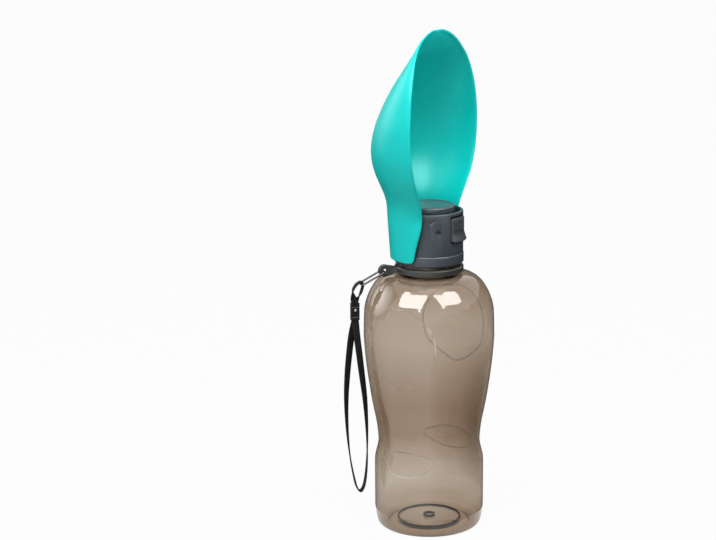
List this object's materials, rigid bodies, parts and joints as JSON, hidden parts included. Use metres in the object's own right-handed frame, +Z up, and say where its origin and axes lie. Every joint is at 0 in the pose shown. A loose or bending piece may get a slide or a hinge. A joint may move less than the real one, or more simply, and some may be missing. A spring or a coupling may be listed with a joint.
{
  "type": "dog travel water bottle",
  "caption": "Waisted travel water bottle with a lever-operated screw cap, a fold-down drinking trough hinged on the cap and a wrist strap on a neck ring.",
  "frame": {"origin": "centre of the foot ring, on the surface that the bottle stands on", "axes": "+Z up along the bottle's axis; the trough opens and the lever faces towards -Y"},
  "size_m": [0.0928, 0.085, 0.3259],
  "materials": {
    "bottle": "translucent smoke grey-brown, glossy",
    "ring": "satin mid grey",
    "wire": "bright drawn wire",
    "webbing": "woven black webbing",
    "crimp": "black painted, satin",
    "rivet": "bright",
    "cap": "dark slate grey, satin moulded",
    "silicone": "translucent silicone",
    "steel": "drawn wire",
    "stem": "natural white moulded",
    "seal": "black rubber",
    "disc": "slate grey, satin moulded",
    "lever": "dark slate grey, satin moulded",
    "trough": "teal, satin to glossy moulded"
  },
  "bodies": {
    "bottle": {"bottle": "bottle"},
    "neck_ring": {"lanyard_ring": "ring"},
    "link": {"wire_link": "wire"},
    "strap": {"strap_small_loop": "webbing", "strap_crimp": "crimp", "crimp_rivet": "rivet", "strap_hand_loop": "webbing"},
    "seal_ring": {"cap_gasket": "silicone"},
    "cap": {"cap_base": "cap", "vent_valve": "silicone", "cap_head": "cap", "lever_pin": "steel", "valve_spring": "steel"},
    "valve": {"valve_stem": "stem", "stem_collar": "stem", "valve_seal": "seal", "spout_disc": "disc"},
    "lever": {"lever": "lever"},
    "trough": {"trough": "trough", "trough_pin_left": "trough", "trough_pin_right": "trough"}
  },
  "joints": [
    {"name": "ring_turn", "type": "hinge", "parent": "bottle", "child": "neck_ring", "pos_m": [0, 0, 0.1729], "axis": [0, 0, 1], "continuous": true},
    {"name": "link_swing", "type": "hinge", "parent": "neck_ring", "child": "link", "pos_m": [-0.02104, 0.02179, 0.17225], "axis": [0.7193, 0.6947, 0], "range_deg": [0, 100]},
    {"name": "strap_swing", "type": "hinge", "parent": "link", "child": "strap", "pos_m": [-0.03144, 0.03256, 0.16462], "axis": [0.7193, 0.6947, 0], "range_deg": [0, 50]},
    {"name": "cap_lift", "type": "slide", "parent": "bottle", "child": "seal_ring", "axis": [0, 0, 1], "range_m": [0, 0.0084]},
    {"name": "cap_turn", "type": "hinge", "parent": "seal_ring", "child": "cap", "pos_m": [0, 0, 0.19], "axis": [0, 0, 1], "range_deg": [0, 720]},
    {"name": "lever_press", "type": "hinge", "parent": "cap", "child": "lever", "pos_m": [0, -0.0157, 0.1994], "axis": [1, 0, 0], "range_deg": [-8, 0]},
    {"name": "valve_travel", "type": "slide", "parent": "cap", "child": "valve", "axis": [0, 0, 1], "range_m": [-0.0022, 0], "stiffness_N_per_m": 400, "springref_m": 0.0015, "deforming": ["valve_spring"]},
    {"name": "trough_swing", "type": "hinge", "parent": "cap", "child": "trough", "pos_m": [0, 0, 0.2011], "axis": [-1, 0, 0], "range_deg": [-147, 0]}
  ],
  "couplings": [
    {"joint": "cap_turn", "follows": "cap_lift", "rad_per_m": 1496},
    {"joint": "lever_press", "follows": "valve_travel", "rad_per_m": 63.4}
  ]
}
